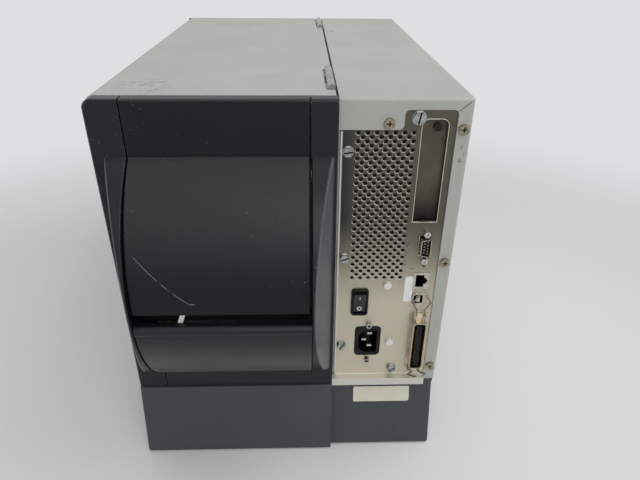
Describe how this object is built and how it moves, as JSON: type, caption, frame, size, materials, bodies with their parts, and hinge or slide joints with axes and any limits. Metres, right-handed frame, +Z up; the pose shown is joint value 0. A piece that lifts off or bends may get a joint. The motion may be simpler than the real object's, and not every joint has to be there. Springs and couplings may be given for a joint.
{
  "type": "thermal label printer",
  "caption": "Tabletop industrial thermal label printer with hinged media door, rounded rear media cover with fan-fold slot and a rear panel of vents, sockets and power switch.",
  "frame": {"origin": "on the floor under the middle of the bounding box", "axes": "+Z up, front towards -Y, media bay towards +X, electronics bay towards -X"},
  "size_m": [0.275, 0.475, 0.3425],
  "materials": {
    "painted_sheet": "light grey powder coat",
    "dark_moulding": "textured dark grey",
    "base_moulding": "textured slate grey",
    "foot_rubber": "matte black",
    "clear_sheet": "clear smoked plastic sheet",
    "plated_sheet": "dull plated steel",
    "zinc_hardware": "zinc plated",
    "brass_hardware": "dull yellow passivated",
    "white_nylon": "natural nylon",
    "black_plastic": "black",
    "circuit_board": "green solder mask",
    "motor_body": "black painted steel",
    "bare_aluminium": "machined",
    "head_ceramic": "glazed strip on a heat sink",
    "guide_plastic": "tan moulded",
    "belt_rubber": "black toothed belt",
    "key_plastic": "grey"
  },
  "bodies": {
    "chassis": {"base_tray": "base_moulding", "chassis_wall": "plated_sheet", "control_panel": "dark_moulding", "cover_screws": "brass_hardware", "display_lens": "clear_sheet", "drive_belt": "belt_rubber", "drive_motor": "motor_body", "electronics_cover": "painted_sheet", "fanfold_lip": "dark_moulding", "front_fascia": "dark_moulding", "hinge_fixed_leaves": "zinc_hardware", "hinge_pins": "zinc_hardware", "inlet_studs": "zinc_hardware", "logic_board": "circuit_board", "mains_inlet": "black_plastic", "mains_inlet_pins": "zinc_hardware", "media_hanger": "guide_plastic", "network_jack": "zinc_hardware", "nylon_posts": "white_nylon", "option_slot_cover": "plated_sheet", "panel_screws": "zinc_hardware", "parallel_port_insert": "black_plastic", "parallel_port_shell": "zinc_hardware", "platen_bearings": "zinc_hardware", "power_supply_board": "circuit_board", "power_switch_housing": "black_plastic", "print_frame": "bare_aluminium", "rear_cover_inner_rail": "dark_moulding", "rear_cover_outer_rail": "dark_moulding", "rear_cover_panel": "dark_moulding", "rear_panel": "plated_sheet", "rubber_feet": "foot_rubber", "serial_jackscrews": "zinc_hardware", "serial_port_insert": "black_plastic", "serial_port_shell": "zinc_hardware", "support_pillars": "bare_aluminium", "tear_bar": "zinc_hardware", "usb_port": "zinc_hardware"},
    "door": {"media_door": "painted_sheet", "door_window": "clear_sheet", "hinge_door_leaves": "zinc_hardware"},
    "rocker": {"power_rocker": "black_plastic"},
    "bail_upper": {"upper_bail": "zinc_hardware"},
    "bail_lower": {"lower_bail": "zinc_hardware"},
    "key_pause": {"pause_key": "key_plastic"},
    "key_feed": {"feed_key": "key_plastic"},
    "key_cancel": {"cancel_key": "key_plastic"},
    "key_select": {"select_key": "key_plastic"},
    "platen": {"platen_roller": "foot_rubber", "platen_shaft": "zinc_hardware", "platen_pulley": "bare_aluminium"},
    "motor_rotor": {"motor_pulley": "bare_aluminium"},
    "takeup": {"ribbon_takeup_spindle": "bare_aluminium"},
    "supply": {"ribbon_supply_spindle": "bare_aluminium"},
    "head": {"printhead_carrier": "bare_aluminium", "printhead": "head_ceramic"},
    "lever": {"head_lever": "guide_plastic"},
    "supply_guide": {"media_supply_guide": "guide_plastic"},
    "edge_guide": {"media_guide": "guide_plastic"},
    "dancer": {"dancer_arm": "guide_plastic"}
  },
  "joints": [
    {"name": "door_hinge", "type": "hinge", "parent": "chassis", "child": "door", "pos_m": [-0.0365, 0, 0.3393], "axis": [0, -1, 0], "range_deg": [0, 135]},
    {"name": "rocker_tilt", "type": "hinge", "parent": "chassis", "child": "rocker", "pos_m": [-0.063, 0.1731, 0.1624], "axis": [1, 0, 0], "range_deg": [0, 20]},
    {"name": "upper_bail_swing", "type": "hinge", "parent": "chassis", "child": "bail_upper", "pos_m": [-0.116, 0.1797, 0.1495], "axis": [-1, 0, 0], "range_deg": [0, 100]},
    {"name": "lower_bail_swing", "type": "hinge", "parent": "chassis", "child": "bail_lower", "pos_m": [-0.116, 0.1797, 0.0875], "axis": [1, 0, 0], "range_deg": [-75, 10]},
    {"name": "pause_press", "type": "slide", "parent": "chassis", "child": "key_pause", "axis": [0, 1, 0], "range_m": [0, 0.0012], "stiffness_N_per_m": 1200},
    {"name": "feed_press", "type": "slide", "parent": "chassis", "child": "key_feed", "axis": [0, 1, 0], "range_m": [0, 0.0012], "stiffness_N_per_m": 1200},
    {"name": "cancel_press", "type": "slide", "parent": "chassis", "child": "key_cancel", "axis": [0, 1, 0], "range_m": [0, 0.0012], "stiffness_N_per_m": 1200},
    {"name": "select_press", "type": "slide", "parent": "chassis", "child": "key_select", "axis": [0, 1, 0], "range_m": [0, 0.0012], "stiffness_N_per_m": 1200},
    {"name": "platen_spin", "type": "hinge", "parent": "chassis", "child": "platen", "pos_m": [0, -0.205, 0.135], "axis": [1, 0, 0], "continuous": true},
    {"name": "motor_spin", "type": "hinge", "parent": "chassis", "child": "motor_rotor", "pos_m": [-0.057, -0.15, 0.118], "axis": [1, 0, 0], "continuous": true},
    {"name": "takeup_spin", "type": "hinge", "parent": "chassis", "child": "takeup", "pos_m": [0, -0.165, 0.258], "axis": [1, 0, 0], "continuous": true},
    {"name": "supply_spin", "type": "hinge", "parent": "chassis", "child": "supply", "pos_m": [0, -0.068, 0.262], "axis": [1, 0, 0], "continuous": true},
    {"name": "head_open", "type": "hinge", "parent": "chassis", "child": "head", "pos_m": [0, -0.122, 0.178], "axis": [-1, 0, 0], "range_deg": [0, 25]},
    {"name": "lever_turn", "type": "hinge", "parent": "chassis", "child": "lever", "pos_m": [0.1, -0.152, 0.16], "axis": [-1, 0, 0], "range_deg": [0, 70]},
    {"name": "supply_guide_slide", "type": "slide", "parent": "chassis", "child": "supply_guide", "axis": [1, 0, 0], "range_m": [-0.09, 0.02]},
    {"name": "edge_guide_slide", "type": "slide", "parent": "chassis", "child": "edge_guide", "axis": [1, 0, 0], "range_m": [-0.046, 0.01]},
    {"name": "dancer_swing", "type": "hinge", "parent": "chassis", "child": "dancer", "pos_m": [-0.04, -0.018, 0.142], "axis": [-1, 0, 0], "range_deg": [0, 25]}
  ],
  "couplings": [
    {"joint": "motor_spin", "follows": "platen_spin", "ratio": 2},
    {"joint": "takeup_spin", "follows": "platen_spin", "ratio": 0.8},
    {"joint": "lever_turn", "follows": "head_open", "ratio": 2.8}
  ]
}
